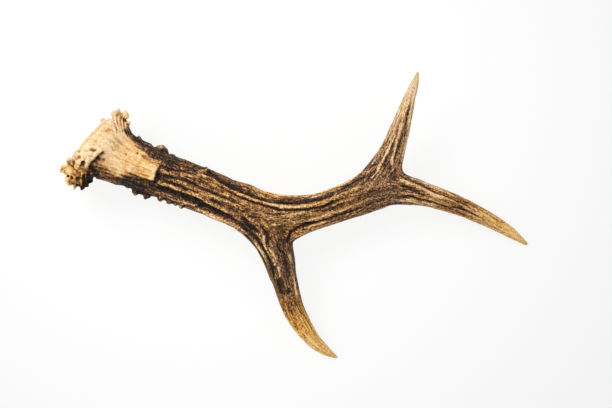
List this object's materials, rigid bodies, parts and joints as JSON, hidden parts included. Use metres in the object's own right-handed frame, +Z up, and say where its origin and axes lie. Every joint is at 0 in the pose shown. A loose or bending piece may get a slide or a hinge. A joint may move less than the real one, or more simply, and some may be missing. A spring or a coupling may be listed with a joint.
{
  "type": "roe deer antler",
  "caption": "Shed roe deer antler lying on its side: a grooved, pearled beam with a knobbed burr at its foot, forking into a front tine, a rear tine and a top tine.",
  "frame": {"origin": "middle of the antler's plan, on the surface that it lies on", "axes": "+X from the burr towards the tip of the top tine, +Y towards the side that the rear tine points to, +Z up from the surface"},
  "size_m": [0.2282, 0.1398, 0.0361],
  "materials": {
    "beam_bone": "satin",
    "tine_bone": "satin"
  },
  "bodies": {
    "root": {"main_beam": "beam_bone", "front_tine": "tine_bone", "rear_tine": "tine_bone", "top_tine": "tine_bone"}
  },
  "joints": []
}
